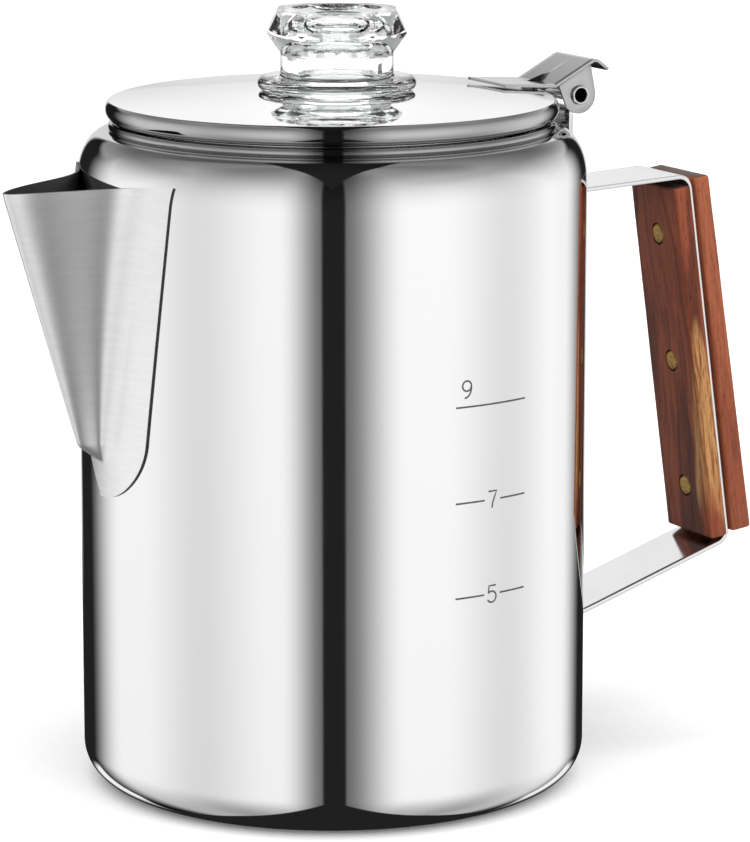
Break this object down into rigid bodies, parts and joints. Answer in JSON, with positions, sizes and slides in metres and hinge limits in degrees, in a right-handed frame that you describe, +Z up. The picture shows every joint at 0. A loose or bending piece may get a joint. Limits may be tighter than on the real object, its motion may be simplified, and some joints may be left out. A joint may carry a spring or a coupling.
{
  "type": "coffee percolator",
  "caption": "Stovetop coffee percolator: steel pot with a folded spout, hinged domed lid with a glass knob, wood-scaled strap handle, and a lift-out pump, basket and spreader inside.",
  "frame": {"origin": "centre of the base, on the surface the pot stands on", "axes": "+Z up along the pot's axis, -X towards the spout, +X towards the handle and the hinge"},
  "size_m": [0.2168, 0.132, 0.2022],
  "materials": {
    "polished_steel": "mirror-polished stainless steel",
    "satin_steel": "satin stainless steel with a fine grain",
    "rosewood": "oiled dark red-brown wood",
    "redwood": "oiled orange-red wood",
    "brass": "dull brass, ground flush",
    "clear_glass": "clear pressed glass"
  },
  "bodies": {
    "pot": {"pot_body": "polished_steel", "spout": "satin_steel", "hinge_upright": "polished_steel", "hinge_pin": "polished_steel", "handle_band": "polished_steel", "grip_scale_inner": "rosewood", "grip_scale_outer": "redwood", "grip_pin_top": "brass", "grip_pin_middle": "brass", "grip_pin_bottom": "brass"},
    "lid": {"lid_plate": "polished_steel", "lid_skirt": "satin_steel", "lid_lever": "polished_steel"},
    "knob": {"glass_knob": "clear_glass"},
    "pump": {"stem_tube": "satin_steel", "stem_collar": "satin_steel", "pump_foot": "satin_steel", "valve_seat": "satin_steel"},
    "washer": {"pump_washer": "satin_steel"},
    "basket": {"basket_cup": "satin_steel", "basket_sleeve": "satin_steel"},
    "spreader": {"spreader_plate": "satin_steel"}
  },
  "joints": [
    {"name": "lid_hinge", "type": "hinge", "parent": "pot", "child": "lid", "pos_m": [0.0687, 0, 0.1769], "axis": [0, 1, 0], "range_deg": [0, 110]},
    {"name": "knob_twist", "type": "hinge", "parent": "lid", "child": "knob", "pos_m": [0.0011, -0.0006, 0.1817], "axis": [0, 0, 1], "range_deg": [0, 90]},
    {"name": "pump_lift", "type": "slide", "parent": "pot", "child": "pump", "axis": [0, 0, 1], "range_m": [0, 0.007]},
    {"name": "washer_lift", "type": "slide", "parent": "pump", "child": "washer", "axis": [0, 0, 1], "range_m": [0, 0.002]},
    {"name": "basket_lift", "type": "slide", "parent": "pump", "child": "basket", "axis": [0, 0, 1], "range_m": [0, 0.008]},
    {"name": "spreader_lift", "type": "slide", "parent": "basket", "child": "spreader", "axis": [0, 0, 1], "range_m": [0, 0.009]}
  ]
}
